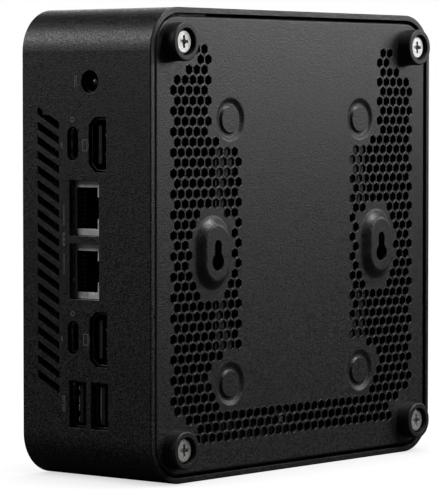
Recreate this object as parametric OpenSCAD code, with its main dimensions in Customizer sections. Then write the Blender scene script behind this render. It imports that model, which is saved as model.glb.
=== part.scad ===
// A palm-sized desktop computer standing on its side wall.
// Case coordinates: x runs from the bottom plate's rim (0) to the lid (case_t), y from the
// front panel to the rear panel, and z up, with y = z = 0 at the middle of the case.
// in_case() moves them to the shared frame, whose origin is the middle of the footprint.

/* [Case] */
// Depth from the front panel to the rear panel
case_d = 132.5; // [130:0.5:138]
// Width from side wall to side wall
case_w = 135.6; // [134:0.2:142]
// Thickness from the bottom rim to the lid
case_t = 50; // [49:0.5:56]
// Radius of the four upright case corners
corner_r = 12.3; // [10:0.1:14]
// Thickness of the moulded walls
wall = 1.6; // [1.4:0.1:1.8]
// Radius of the outer edge round the lid
lid_edge_r = 1.0; // [0.6:0.1:1.4]
// Radius of the outer edge round the bottom rim
rim_edge_r = 0.4; // [0.2:0.1:0.6]

/* [Bottom plate] */
// Thickness of the sheet steel
sheet = 1.0; // [0.8:0.1:1.2]
// Gap between the plate and the case wall
plate_gap = 0.85; // [0.6:0.05:1.1]
// How far the plate lies inside the rim
plate_recess = 0.3; // [0.1:0.1:0.6]
// Depth of the plate's folded flange
flange_depth = 4.5; // [3:0.5:6]
// Centre-to-centre distance of the hexagonal vents
hex_pitch = 3.4; // [3.2:0.1:3.6]
// Width of a hexagonal vent across its flats
hex_flats = 2.8; // [2.4:0.1:2.9]
// Spacing of the four drive seats across the case
seat_dy = 61.72; // [60:0.02:63]
// Spacing of the four drive seats along the case
seat_dz = 76.6; // [75:0.1:78]
// Distance between the two wall-hanging keyholes
keyhole_span = 78; // [76:0.5:80]
// Height of the keyhole bosses above the plate
keyhole_rise = 2.2; // [1.5:0.1:3]

/* [Feet and screws] */
// Spacing of the feet from front to rear
foot_dy = 111; // [108:0.5:112]
// Spacing of the feet from side to side
foot_dz = 115.8; // [112:0.2:117]
// How far the feet stand out from the rim
foot_h = 4.2; // [3.5:0.1:6]
// Diameter of a foot
foot_dia = 11; // [10:0.2:12]
// Diameter of a corner screw's head
head_dia = 6.8; // [6:0.1:7]

/* [Cooling] */
// Number of slanted slots in the rear panel
rear_slots = 19; // [10:1:19]
// Distance from one slanted slot to the next
slot_pitch = 4.23; // [4:0.01:4.6]
// Number of fan blades
blade_count = 29; // [15:2:37]
// Outer diameter of the fan's blades
rotor_dia = 60; // [50:1:62]
// Number of cooling fins
fin_count = 36; // [16:2:40]

/* [Power button] */
// Diameter of the power button
button_dia = 12; // [10:0.5:13]
// How far the button travels
button_travel = 0.4; // [0.3:0.1:0.6]

/* [Hidden] */
$fn = 48;

play = 0.08;            // running clearance round the button and its plunger
eps = 0.5;              // how far a cutter passes the face that it opens

// Case, from the rim to the lid
rear_y = case_d / 2;
side_z = case_w / 2;
inner_y = rear_y - wall;
inner_z = side_z - wall;
lid_pocket = 1.2;       // depth of the pocket that holds the lid panel
lid_border = 3.2;       // width of the moulded border round the lid panel
lid_wall = 2;
ceiling_x = case_t - lid_pocket - lid_wall;
panel_t = 1;
panel_gap = 0.15;

// Bottom plate
plate_d = case_d - 2 * (wall + plate_gap);
plate_w = case_w - 2 * (wall + plate_gap);
plate_r = corner_r - wall - plate_gap;
plate_in = plate_recess + sheet;
plate_edge_r = 0.7;
seat_z = -2.45;         // middle of the drive and of the keyhole bosses
groove_dia = 13;        // pressed ring round a drive seat
disc_dia = 7.5;         // flat disc inside the ring
groove_depth = 0.7;
press_steps = 8;        // straight steps in a pressed slope
boss_foot = [15.6, 21.6];
boss_top = [9.4, 15.6];
key_round = 5.2;        // hole that passes a wall screw's head
key_slot = 2.95;        // slot that holds its shank
key_low = -5;
key_high = -0.15;

// Hexagonal vents: rows run across the plate, each half a pitch from the next
hex_row = hex_pitch * sqrt(3) / 2;
hex_z0 = -2.9;
field_y = 56.2;
field_z = 57;
band_inner = 27;
band_upper = 40.5;
upper_z = 31;
strip_z = -49;
seat_clear = 8.78;
boss_clear = 10.05;
foot_clear = 9.5;

// Corner posts, screws and feet
post_dia = 7;
screw_dia = 3;
screw_len = 9;
head_h = 1.9;
head_depth = 1.1;       // the head's face lies this far inside the foot
foot_bore = 7.9;

// Main board: sockets on its x- face, processor and fan on its x+ face
board_x = 32.2;
board_t = 1.6;
board_d = 124.5;
board_w = 127;
board_y = 0.2;
board_notch = 5.2;
stand_y = [-30, 38];
stand_z = 56;
stand_dia = 6;

// Blower, fins and heat pipe
fan_y = 10;
fan_z = -3;
fan_case_r = 34;
fan_x0 = 35.4;
fan_x1 = 46.4;
fan_skin = 0.8;
bush_h = 2.2;
shaft_dia = 3;
shaft_play = 0.04;      // running clearance round the shaft
rotor_x = fan_x0 + 3.4;
rotor_h = 6.4;
outlet_w = 70;
outlet_from = fan_y + 3;  // where the straight walls leave the round
outlet_y = 52;
ear_at = [[fan_y - 27.5, fan_z - 24.5], [fan_y - 27.5, fan_z + 24.5], [outlet_y - 8, fan_z - 37.8]];
fin_depth = 11;
fin_t = 0.3;
cold_x = 34.8;
cold_t = 1.4;
pipe_t = 3;
pipe_w = 8;
pipe_x = cold_x + cold_t;
pipe_z = 42;
pipe_bend = 9;
pipe_fin_y = outlet_y + fin_depth / 2;
cold_y = -45;

// Rear sockets: [x, z] of each centre
dc_at = [23.1, 46.7];
usb_c_at = [[29.7, 29.0], [29.7, -26.7]];
video_at = [[20.2, 28.75], [20.0, -26.9]];
network_at = [[25.35, 10.55], [25.35, -7.65]];
usb_a_at = [[27.95, -45.9], [19.55, -45.9]];
dc_hole = 6.6;
usb_c_hole = [4.2, 9.8];
video_hole = [6.7, 15.8];
network_hole = [11.4, 16];
network_shell = [11.1, 15.7];
network_depth = 16.5;
network_y = rear_y - 2.3;   // face of the network sockets
usb_a_hole = [6.6, 13.6];
usb_a_depth = 14;
usb_a_inset = 1.8;      // the shells start this far inside the panel's face
usb_c_inset = 1.8;
video_inset = 0.9;
slot_x = [35.1, 43.5];
slot_fall = 4.4;
slot_h = 2.3;
slot_top = 39.57;

// Front sockets, all on one line
front_x = 28.4;
front_usb_a_z = [40, 21];
front_usb_c_z = 4;
audio_z = -10;
light_z = -34;
button_z = -48;
flange_dia = 14;
switch_y = -57;
plunger_dia = 2;

// Drive in its tray
drive = [7, 69.85, 100.2];
drive_x = 2.9;
drive_plug_end = 14;    // distance from the plug end to the first pair of screw holes
tray_t = 0.8;
tray_x = drive_x - tray_t;
tray_wall_h = 6;

ribbon_y = [-11, 13];
ribbon_z = seat_z + seat_dz / 2 + drive_plug_end + 7.4;

// Cards and cells on the board's x- face
memory_y = -49;
memory_z = -52;
card_y = [-12, 10];
ssd_z = [-58, 18];
radio_z = [30, 54];
cell_at = [-34, 36];
lead_dia = 1.1;

// Lock slot in the upper side wall
lock_at = [13, 42];
lock_slot = [3, 7];

module in_case() {
  translate([foot_h - (case_t + foot_h) / 2, 0, side_z]) children();
}

// Extrudes a (y, z) outline along x from x0
module along_x(x0, length) {
  translate([x0, 0, 0]) rotate([90, 0, 90]) linear_extrude(length) children();
}

// Extrudes an (x, z) outline along y from y0
module along_y(y0, length) {
  translate([0, y0 + length, 0]) rotate([90, 0, 0]) linear_extrude(length) children();
}

// Extrudes an (x, y) outline along z from z0
module along_z(z0, length) {
  translate([0, 0, z0]) linear_extrude(length) children();
}

module rounded(size, r) {
  square([size.x - 2 * r, size.y], center = true);
  square([size.x, size.y - 2 * r], center = true);
  for (sx = [-1, 1], sy = [-1, 1]) translate([sx * (size.x / 2 - r), sy * (size.y / 2 - r)]) circle(r);
}

module framed(size, r, border) {
  difference() {
    rounded(size, r);
    rounded([size.x - 2 * border, size.y - 2 * border], max(r - border, 0.1));
  }
}

// Block of height h in x whose four upright corners have radius r; its outer edge at the x- end is
// rounded to edge_r. size is its extent in y and z.
module soft_block(size, r, h, edge_r) {
  along_x(edge_r, h - edge_r) rounded(size, r);
  along_x(0, edge_r) rounded([size.x - 2 * edge_r, size.y - 2 * edge_r], r - edge_r);
  for (sy = [-1, 1], sz = [-1, 1])
    translate([edge_r, sy * (size.x / 2 - r), sz * (size.y / 2 - r)])
      rotate([0, 90, 0]) rotate_extrude() translate([r - edge_r, 0]) circle(edge_r);
  for (sy = [-1, 1]) translate([edge_r, sy * (size.x / 2 - edge_r), 0])
    cylinder(h = size.y - 2 * r, r = edge_r, center = true);
  for (sz = [-1, 1]) translate([edge_r, 0, sz * (size.y / 2 - edge_r)])
    rotate([90, 0, 0]) cylinder(h = size.x - 2 * r, r = edge_r, center = true);
}

module at_feet() {
  for (sy = [-1, 1], sz = [-1, 1]) translate([0, sy * foot_dy / 2, sz * foot_dz / 2]) children();
}

module at_stands() {
  for (y = stand_y, sz = [-1, 1]) translate([0, y, sz * stand_z]) children();
}

module at_seats() {
  for (sy = [-1, 1], sz = [-1, 1]) translate([0, sy * seat_dy / 2, seat_z + sz * seat_dz / 2]) children();
}

module rod_x(x0, length, dia) {
  translate([x0, 0, 0]) rotate([0, 90, 0]) cylinder(h = length, d = dia);
}

module rod_y(y0, length, dia) {
  translate([0, y0 + length, 0]) rotate([90, 0, 0]) cylinder(h = length, d = dia);
}

module pill(size) {
  hw = size.x / 2;
  square([size.x, size.y - size.x], center = true);
  for (s = [-1, 1]) translate([0, s * (size.y / 2 - hw)]) circle(hw);
}

// Outline of a video socket: a long slot whose two corners towards the lid are cut off
module video_outline(size) {
  a = size.x / 2;
  b = size.y / 2;
  cut = size.x * 0.34;
  polygon([[-a, -b], [a - 1.1 * cut, -b], [a, -b + cut], [a, b - cut], [a - 1.1 * cut, b], [-a, b]]);
}

// Slanted cooling slots: parallelograms that fall from the lid side towards the plate side.
// The first is cut off level and the last thins out, as the band has level ends.
module slanted_slots(count, top) {
  intersection() {
    for (i = [0:count - 1])
      translate([0, top - i * slot_pitch])
        polygon([[slot_x[1], 0], [slot_x[0], -slot_fall], [slot_x[0], -slot_fall - slot_h],
          [slot_x[1], -slot_h]]);
    union() {
      translate([slot_x[0], top - count * slot_pitch - slot_h])
        square([slot_x[1] - slot_x[0], count * slot_pitch + slot_h - 2.4]);
      translate([slot_x[1] - 2, top - 4]) square([2, 4]);
    }
  }
}

module port_openings() {
  along_y(rear_y - 2 * wall, 3 * wall) {
    translate(dc_at) circle(d = dc_hole);
    for (p = usb_c_at) translate(p) pill(usb_c_hole);
    for (p = video_at) translate(p) video_outline(video_hole);
    for (p = network_at) translate(p) square(network_hole, center = true);
    for (p = usb_a_at) translate(p) square(usb_a_hole, center = true);
    slanted_slots(rear_slots, slot_top);
  }
  along_y(-rear_y - wall, 3 * wall) {
    for (z = front_usb_a_z) translate([front_x, z]) square(usb_a_hole, center = true);
    translate([front_x, front_usb_c_z]) pill(usb_c_hole);
    translate([front_x, audio_z]) circle(d = 7);
    translate([front_x, light_z]) circle(d = 2);
    translate([front_x, button_z]) circle(d = button_dia + 2 * play);
  }
}

module side_openings() {
  for (s = [-1, 1]) mirror([0, 0, s < 0 ? 1 : 0])
    along_z(side_z - 2 * wall, 3 * wall) translate([0, -2]) slanted_slots(11, 24);
  along_z(side_z - 2 * wall, 3 * wall) translate(lock_at) rounded(lock_slot, 0.8);
}

module housing() in_case() color("#1b1b1d") difference() {
  union() {
    difference() {
      soft_block([case_d, case_w], corner_r, case_t / 2, rim_edge_r);
      along_x(-eps, case_t) rounded([2 * inner_y, 2 * inner_z], corner_r - wall);
    }
    difference() {
      translate([case_t, 0, 0]) mirror([1, 0, 0]) soft_block([case_d, case_w], corner_r, case_t / 2, lid_edge_r);
      along_x(0, ceiling_x) rounded([2 * inner_y, 2 * inner_z], corner_r - wall);
      along_x(case_t - lid_pocket, lid_pocket + eps)
        rounded([case_d - 2 * lid_border, case_w - 2 * lid_border], corner_r - lid_border);
    }
    at_feet() rod_x(plate_in, ceiling_x - plate_in + eps, post_dia);
    at_stands() rod_x(board_x + board_t, ceiling_x - board_x - board_t + eps, stand_dia);
  }
  at_feet() rod_x(plate_in - eps, screw_len + eps, screw_dia);
  at_stands() rod_x(board_x, 8, 2.5);
  port_openings();
  side_openings();
}

module top_cover() in_case() color("#232326") difference() {
  along_x(case_t - lid_pocket, panel_t)
    rounded([case_d - 2 * (lid_border + panel_gap), case_w - 2 * (lid_border + panel_gap)],
      corner_r - lid_border - panel_gap);
  along_x(case_t - lid_pocket + panel_t - 0.3, eps)
    framed([case_d - 4 * lid_border, case_w - 4 * lid_border], corner_r - 1.5 * lid_border, 0.5);
}

function clear_of(p, q, r) = norm([p.x - q.x, p.y - q.y]) > r;
function clear_of_boss(p) =
  let (dz = max(abs(p.y - seat_z) - (boss_foot.y - boss_foot.x) / 2, 0))
  norm([p.x - keyhole_span / 2, dz]) > boss_clear;
function vent_at(p) =
  let (q = [abs(p.x), p.y])
  q.x < field_y && abs(q.y) < field_z
  && (q.x > band_inner || q.y < strip_z)
  && (q.y < upper_z || q.x > band_upper)
  && clear_of(q, [seat_dy / 2, seat_z + seat_dz / 2], seat_clear)
  && clear_of(q, [seat_dy / 2, seat_z - seat_dz / 2], seat_clear)
  && clear_of(q, [foot_dy / 2, foot_dz / 2], foot_clear)
  && clear_of(q, [foot_dy / 2, -foot_dz / 2], foot_clear)
  && clear_of_boss(q);

module hex_vents() {
  rows = ceil(2 * field_z / hex_row / 2);
  cols = ceil(field_y / hex_pitch);
  for (i = [-rows:rows], j = [-cols:cols]) {
    p = [(j + (i % 2 == 0 ? 0.5 : 0)) * hex_pitch, hex_z0 + i * hex_row];
    if (vent_at(p)) translate(p) rotate(30) circle(d = hex_flats / cos(30), $fn = 6);
  }
}

// Height of a pressed slope: an S from 0 at its foot, where u is 0, to 1 at its top, where u is 1
function press(u) = (1 - cos(180 * u)) / 2;

// Raised stadium whose sides rise in an S, standing out towards x-
module pressed_boss(foot_size, top_size, rise) {
  run = (foot_size.y - foot_size.x) / 2;
  slope = [for (k = [0:press_steps]) let (u = k / press_steps)
    [foot_size.x / 2 + (top_size.x - foot_size.x) / 2 * u, rise * press(u)]];
  for (s = [-1, 1]) translate([0, 0, s * run]) rotate([0, -90, 0])
    rotate_extrude() polygon(concat([[0, 0]], slope, [[0, rise]]));
  translate([0, 0, -run]) linear_extrude(2 * run)
    polygon(concat([for (p = slope) [-p.y, p.x]],
      [for (k = [press_steps:-1:0]) [-slope[k].y, -slope[k].x]]));
}

module keyhole() {
  along_x(-keyhole_rise - 2, keyhole_rise + 4) {
    translate([0, key_low]) circle(d = key_round);
    translate([0, key_high]) circle(d = key_slot);
    translate([-key_slot / 2, key_low]) square([key_slot, key_high - key_low]);
  }
}

// Pressed ring round a flat disc: steep at the disc and an S outside it. grow thickens it for the
// sheet behind it.
module seat_ring(depth, grow) {
  r0 = disc_dia / 2 - grow;
  r1 = groove_dia / 2 + grow;
  low = r0 + 1;
  rotate([0, 90, 0]) rotate_extrude()
    polygon(concat([[r0, 0], [r0 + 0.45, depth]],
      [for (k = [0:press_steps]) let (u = k / press_steps) [low + (r1 - low) * u, depth * (1 - press(u))]]));
}

module bottom_plate() in_case() color("#2a2a2c") difference() {
  union() {
    difference() {
      translate([plate_recess, 0, 0])
        soft_block([plate_d, plate_w], plate_r, flange_depth, plate_edge_r);
      along_x(plate_in, flange_depth)
        rounded([plate_d - 2 * sheet, plate_w - 2 * sheet], plate_r - sheet);
      along_x(-eps, plate_in + 2 * eps) hex_vents();
    }
    for (s = [-1, 1]) translate([plate_recess, s * keyhole_span / 2, seat_z])
      pressed_boss(boss_foot, boss_top, keyhole_rise);
    at_seats() translate([plate_in, 0, 0]) seat_ring(groove_depth, 0.3);
  }
  for (s = [-1, 1]) translate([plate_in, s * keyhole_span / 2, seat_z])
    pressed_boss([boss_foot.x - 2 * sheet, boss_foot.y - 2 * sheet],
      [boss_top.x - sheet, boss_top.y - sheet], keyhole_rise);
  for (s = [-1, 1]) translate([0, s * keyhole_span / 2, 0]) keyhole();
  at_seats() translate([plate_recess, 0, 0]) seat_ring(groove_depth, 0);
  at_feet() rod_x(-eps, 4, screw_dia + 0.4);
}

module rubber_feet() in_case() color("#141414") at_feet() difference() {
  union() {
    rod_x(-foot_h + 0.5, foot_h - 0.5 + plate_recess, foot_dia);
    rod_x(-foot_h, 1, foot_dia - 1);
    translate([-foot_h + 0.5, 0, 0]) rotate([0, 90, 0])
      rotate_extrude() translate([foot_dia / 2 - 0.5, 0]) circle(0.5);
  }
  rod_x(-foot_h - eps, head_depth + head_h + eps, foot_bore);
  rod_x(-foot_h, foot_h + 2, screw_dia + 0.4);
}

// Countersunk cross for a screwdriver: two crossed bars and a centre bore
module cross_recess(size, depth) {
  for (a = [0, 90]) rotate([a, 0, 0]) translate([-eps, -size / 2, -size * 0.13])
    cube([depth + eps, size, size * 0.26]);
  rod_x(-eps, depth + eps, size * 0.5);
}

module corner_screws() in_case() color("silver") at_feet() translate([head_depth - foot_h, 0, 0])
  difference() {
    union() {
      rod_x(0.3, head_h - 0.3, head_dia);
      translate([0, 0, 0]) rotate([0, 90, 0]) cylinder(h = 0.3, d1 = head_dia - 0.8, d2 = head_dia);
      rod_x(head_h - eps, foot_h - head_depth - head_h + screw_len + eps, screw_dia);
    }
    cross_recess(3.6, 1.2);
  }

module drive_tray() in_case() color("#9a9ea3") difference() {
  union() {
    translate([tray_x, -drive.y / 2 - tray_t, seat_z - 44]) cube([tray_t, drive.y + 2 * tray_t, 88]);
    for (s = [-1, 1]) translate([tray_x, s * (drive.y + tray_t) / 2 - tray_t / 2, seat_z - 44])
      cube([tray_wall_h, tray_t, 88]);
  }
  along_x(tray_x - eps, tray_t + 2 * eps) {
    translate([0, seat_z]) rounded([44, 66], 4);
    for (sy = [-1, 1]) translate([sy * 29, seat_z]) rounded([6, 44], 2);
  }
  at_seats() rod_x(0, 6, 3);
  for (s = [-1, 1]) translate([drive_x + 3, 0, seat_z + s * seat_dz / 2]) rod_y(-40, 80, 3.4);
}

module tray_rivets() in_case() color("#b0b4b8") at_seats() {
  rod_x(plate_in, tray_x + tray_t - plate_in, 3);
  translate([0, 0, 0]) rod_x(plate_in, tray_x - plate_in, 6);
}

module storage_drive() in_case() color("#303338") difference() {
  translate([drive_x, -drive.y / 2, seat_z + seat_dz / 2 + drive_plug_end - drive.z]) cube(drive);
  for (s = [-1, 1], t = [-1, 1]) translate([drive_x + 3, t * drive.y / 2 - 3, seat_z + s * seat_dz / 2])
    rod_y(0, 6, 3);
  translate([drive_x + 1, -20, seat_z + seat_dz / 2 + drive_plug_end - 4]) cube([5, 34, 5]);
  translate([drive_x + drive.x - 0.4, -31, seat_z - 40]) cube([1, 62, 74]);
}

module drive_screws() in_case() color("silver")
  for (s = [-1, 1], t = [-1, 1]) translate([drive_x + 3, 0, seat_z + s * seat_dz / 2]) mirror([0, t < 0 ? 1 : 0, 0]) {
    rod_y(drive.y / 2 - 3, 3 + tray_t, 3);
    rod_y(drive.y / 2 + tray_t, 1.2, 5);
  }

module drive_plug() in_case() color("#101012") {
  translate([drive_x + 1.2, -19.8, seat_z + seat_dz / 2 + drive_plug_end - 4]) cube([4.6, 33.6, 4]);
  translate([drive_x + 0.6, -20.5, seat_z + seat_dz / 2 + drive_plug_end]) cube([5.8, 35, 3]);
}

module drive_ribbon() in_case() color("#20242a") {
  z0 = ribbon_z - 4.4;
  along_y(ribbon_y[0], ribbon_y[1] - ribbon_y[0])
    polygon([[drive_x + 3, z0], [drive_x + 3, z0 + 2.6], [drive_x + 5, z0 + 4.6], [28.5, z0 + 4.6],
      [28.5, z0 + 4.2], [drive_x + 5.2, z0 + 4.2], [drive_x + 3.4, z0 + 2.4], [drive_x + 3.4, z0]]);
}

module board_outline() {
  difference() {
    translate([board_y, 0]) rounded([board_d, board_w], 3);
    for (sy = [-1, 1], sz = [-1, 1]) translate([sy * foot_dy / 2, sz * foot_dz / 2]) {
      circle(board_notch);
      translate([sy * 7, sz * 2]) square(16, center = true);
    }
  }
}

module main_board() in_case() color("#12331f") difference() {
  along_x(board_x, board_t) board_outline();
  at_stands() rod_x(board_x - eps, board_t + 2 * eps, 3.2);
}

module board_screws() in_case() color("silver") at_stands() difference() {
  union() {
    rod_x(board_x - 1.6, 1.6, 5.4);
    rod_x(board_x - eps, 8, 2.5);
  }
  translate([board_x - 1.6, 0, 0]) cross_recess(2.8, 1);
}

// Chokes and capacitors of the processor's supply, and the drive ribbon's socket
module board_components() in_case() color("#3a3a40") {
  for (i = [0:3]) translate([board_x + board_t, -58.5, -52 + i * 6.6]) cube([3, 6, 6]);
  for (i = [0:3]) translate([0, -49, -49.5 + i * 6.2]) rod_x(board_x + board_t, 2.6, 3.4);
  for (i = [0:3]) translate([board_x - 2, 22 + i * 5.2, -20]) cube([2, 4, 4]);
  translate([board_x - 1.2, 18, -8]) cube([1.2, 16, 16]);
  translate([28.5, ribbon_y[0] - 1, ribbon_z - 1.4]) cube([board_x - 28.5, ribbon_y[1] - ribbon_y[0] + 2, 3]);
}

module processor() in_case() color("#4a5a50") {
  translate([board_x + board_t, cold_y - 12, -22]) cube([0.7, 24, 40]);
  translate([board_x + board_t + 0.7, cold_y - 6, -8]) cube([cold_x - board_x - board_t - 0.7, 10, 16]);
}

module cold_plate() in_case() color("#b87333") difference() {
  translate([cold_x, cold_y - 13, -26]) cube([cold_t, 26, 48]);
  for (sy = [-1, 1], z = [-23, 19]) translate([0, cold_y + sy * 10, z]) rod_x(cold_x - eps, 3, 3);
}

module pipe_along_z(y, z0, z1) {
  translate([pipe_x, y - pipe_w / 2, z0]) cube([pipe_t, pipe_w, z1 - z0]);
}

module pipe_along_y(z, y0, y1) {
  translate([pipe_x, y0, z - pipe_w / 2]) cube([pipe_t, y1 - y0, pipe_w]);
}

// Quarter turn about (y, z); turn is where it starts, from the front round towards the top
module pipe_quarter(y, z, turn) {
  translate([pipe_x, y, z]) rotate([turn, 0, 0]) rotate([0, 90, 0])
    rotate_extrude(angle = 90) translate([pipe_bend - pipe_w / 2, 0]) square([pipe_w, pipe_t]);
}

// Flattened pipe: from the cold plate along z, round the blower and along the fins
module heat_pipe() in_case() color("#c07a3c") {
  pipe_along_z(cold_y, -24, pipe_z - pipe_bend);
  pipe_quarter(cold_y + pipe_bend, pipe_z - pipe_bend, 180);
  pipe_along_y(pipe_z, cold_y + pipe_bend, pipe_fin_y - pipe_bend);
  pipe_quarter(pipe_fin_y - pipe_bend, pipe_z - pipe_bend, 90);
  pipe_along_z(pipe_fin_y, fan_z - outlet_w / 2 + 2, pipe_z - pipe_bend);
}

module fin_stack() in_case() color("#c9ccd0") {
  gap = (outlet_w - fin_t) / (fin_count - 1);
  x0 = pipe_x + pipe_t;
  for (i = [0:fin_count - 1])
    translate([x0, outlet_y, fan_z - outlet_w / 2 + i * gap]) cube([fan_x1 - x0, fin_depth, fin_t]);
  for (x = [x0, fan_x1 - 0.4]) translate([x, outlet_y, fan_z - outlet_w / 2])
    cube([0.4, fin_depth, outlet_w]);
}

// Round case with a square outlet; past runs the outlet on beyond its end
module blower_outline(grow, past = 0) {
  translate([fan_y, fan_z]) circle(fan_case_r + grow);
  translate([outlet_from, fan_z - outlet_w / 2 - grow])
    square([outlet_y - outlet_from + past, outlet_w + 2 * grow]);
}

module blower_ears() {
  for (p = ear_at) translate(p) children();
}

module blower_case() in_case() color("#1c1c1f") difference() {
  union() {
    difference() {
      union() {
        along_x(fan_x0, fan_x1 - fan_skin - fan_x0) blower_outline(0);
        along_x(fan_x0, 2) blower_ears() circle(4);
      }
      along_x(fan_x0 + fan_skin, fan_x1) blower_outline(-1, past = 2);
      along_x(fan_x0 - eps, 4) blower_ears() circle(1.6);
    }
    translate([0, fan_y, fan_z]) rod_x(fan_x0 + fan_skin / 2, bush_h - fan_skin / 2, 9);
  }
  translate([0, fan_y, fan_z]) rod_x(fan_x0 + fan_skin, 4, shaft_dia + 2 * shaft_play);
}

module blower_cover() in_case() color("#8f9397") difference() {
  along_x(fan_x1 - fan_skin, fan_skin) blower_outline(0);
  translate([0, fan_y, fan_z]) rod_x(fan_x1 - 2, 4, 44);
}

module blower_screws() in_case() color("silver") for (p = ear_at) translate([0, p.x, p.y]) {
  rod_x(fan_x0 + 2, 1.2, 5);
  rod_x(board_x + board_t, fan_x0 + 2 - board_x - board_t, 2.6);
}

// Motor windings on the bush, inside the hub
module fan_stator() in_case() color("#b06a34") translate([0, fan_y, fan_z]) difference() {
  rod_x(fan_x0 + bush_h, 5.4, 19);
  rod_x(fan_x0, 12, shaft_dia + 1);
  for (i = [0:5]) rotate([i * 60, 0, 0]) translate([fan_x0 + bush_h + 0.6, 7.2, 0]) rod_x(0, 6, 3.2);
}

// Backward-curved blade: an arc from the hub to the rim, one sheet thick
module blade(r0, r1, t) {
  steps = 7;
  sweep = 34;
  function arc(k, side) = let (u = k / steps, r = r0 + (r1 - r0) * u, a = -sweep * u * u)
    [r * cos(a) - side * t * sin(a) / 2, r * sin(a) + side * t * cos(a) / 2];
  polygon(concat([for (k = [0:steps]) arc(k, 1)], [for (k = [steps:-1:0]) arc(k, -1)]));
}

module fan_rotor() in_case() color("#26262a") translate([0, fan_y, fan_z]) {
  hub_r = 12;
  difference() {
    union() {
      along_x(rotor_x, rotor_h) {
        circle(hub_r);
        for (i = [0:blade_count - 1]) rotate(i * 360 / blade_count) blade(hub_r - 0.6, rotor_dia / 2, 0.7);
      }
      along_x(rotor_x, 0.8) difference() {
        circle(rotor_dia / 2 - 4);
        circle(hub_r - 1);
      }
    }
    rod_x(rotor_x - eps, rotor_h - 1, 2 * hub_r - 3);
  }
  rod_x(fan_x0 + fan_skin + 0.1, rotor_x + rotor_h - fan_x0 - fan_skin - 0.5, shaft_dia);
}

// Two slots, one above the other: i = 0 lies next to the board
function memory_x(i) = board_x - 5.2 - i * 4;

module memory_sockets() in_case() color("#161618") for (i = [0, 1]) {
  depth = i == 0 ? board_x - memory_x(0) : memory_x(0) - memory_x(1);
  translate([memory_x(i), memory_y, memory_z]) cube([depth, 6.5, 73.6]);
  for (z = [0, 71.4]) translate([memory_x(i), memory_y + 6.5, memory_z + z]) cube([depth, 27, 2.2]);
}

module memory_modules() in_case() color("#1d4a2a") for (i = [0, 1]) {
  x = memory_x(i) + 1.2;
  translate([x, memory_y + 6.5, memory_z + 2.2]) cube([1.2, 27, 69.2]);
  for (k = [0:3]) translate([x - 1, memory_y + 14, memory_z + 5 + k * 17]) cube([1, 12, 13]);
}

module ssd_socket() in_case() color("#161618")
  translate([board_x - 4, card_y[0], ssd_z[1]]) cube([4, card_y[1] - card_y[0], 6]);

module ssd_module() in_case() color("#15202c") {
  translate([board_x - 3.2, card_y[0], ssd_z[0]]) cube([0.8, card_y[1] - card_y[0], ssd_z[1] - ssd_z[0]]);
  for (z = [6, 26, 46]) translate([board_x - 4.6, card_y[0] + 2, ssd_z[0] + z]) cube([1.4, 18, 15]);
}

module ssd_screw() in_case() color("silver") translate([0, (card_y[0] + card_y[1]) / 2, ssd_z[0]]) {
  rod_x(board_x - 4, 0.8, 4.4);
  rod_x(board_x - 2.4, 2.4, 3);
}

module wireless_card() in_case() color("#9aa0a6") {
  width = card_y[1] - card_y[0];
  translate([board_x - 2.6, card_y[0], radio_z[0]]) cube([0.8, width, radio_z[1] - radio_z[0]]);
  translate([board_x - 4.2, card_y[0] + 2, radio_z[0] + 3]) cube([1.6, width - 4, 18]);
  translate([board_x - 3.2, card_y[0], radio_z[0] - 4]) cube([3.2, width, 4]);
}

module antennas() in_case() color("#2b2b2b") for (s = [-1, 1])
  translate([12, -40, s * (inner_z - 0.5) - 0.5]) cube([9, 34, 1]);

module antenna_leads() in_case() color("#0e0e0e") for (s = [-1, 1]) {
  x = board_x - 5;
  y = -13.75 + s * 0.65;
  z = s * (inner_z - 1.6);
  start = 50;
  translate([x, y, min(start, z)]) cylinder(h = abs(start - z), d = lead_dia);
  for (end_z = [start, z]) translate([x, y, end_z]) sphere(d = lead_dia);
  translate([0, y, z]) rod_x(16, x - 16, lead_dia);
}

module coin_cell_holder() in_case() color("#161618") translate([0, cell_at.x, cell_at.y]) difference() {
  rod_x(board_x - 5, 5, 24);
  rod_x(board_x - 5 - eps, 4.2 + eps, 20.2);
}

module coin_cell() in_case() color("#c3c6c9") translate([0, cell_at.x, cell_at.y]) rod_x(board_x - 4.6, 3.2, 20);

module dc_jack() in_case() color("#101011") translate([dc_at.x, 0, dc_at.y]) difference() {
  translate([-5, inner_y - 14, -5.5]) cube([board_x - dc_at.x + 5, 14, 11]);
  rod_y(inner_y - 11, 12, 5.7);
}

module dc_pin() in_case() color("#c8b47a") translate([dc_at.x, 0, dc_at.y]) {
  rod_y(inner_y - 11, 9.5, 2.5);
  translate([0, inner_y - 1.5, 0]) sphere(d = 2.5);
}

module usb_c_places() {
  for (p = usb_c_at) translate([p.x, 0, p.y]) children();
  mirror([0, 1, 0]) translate([front_x, 0, front_usb_c_z]) children();
}

module usb_c_shells() in_case() color("#a9adb1") usb_c_places() difference() {
  along_y(rear_y - usb_c_inset - 9, 9) pill([3.2, 8.94]);
  along_y(rear_y - usb_c_inset - 8, 9) pill([2.6, 8.34]);
}

module usb_c_tongues() in_case() color("#18181a") usb_c_places() {
  along_y(rear_y - usb_c_inset - 8, 6.6) square([0.7, 6.7], center = true);
  along_y(rear_y - usb_c_inset - 8, 2) square([1.6, 7.4], center = true);
}

module video_places() {
  for (p = video_at) translate([p.x, 0, p.y]) children();
}

module video_shells() in_case() color("#8f9396") video_places() difference() {
  along_y(rear_y - video_inset - 12, 12) video_outline([5.8, 15]);
  along_y(rear_y - video_inset - 11.5, 12) video_outline([5.2, 14.4]);
}

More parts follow.
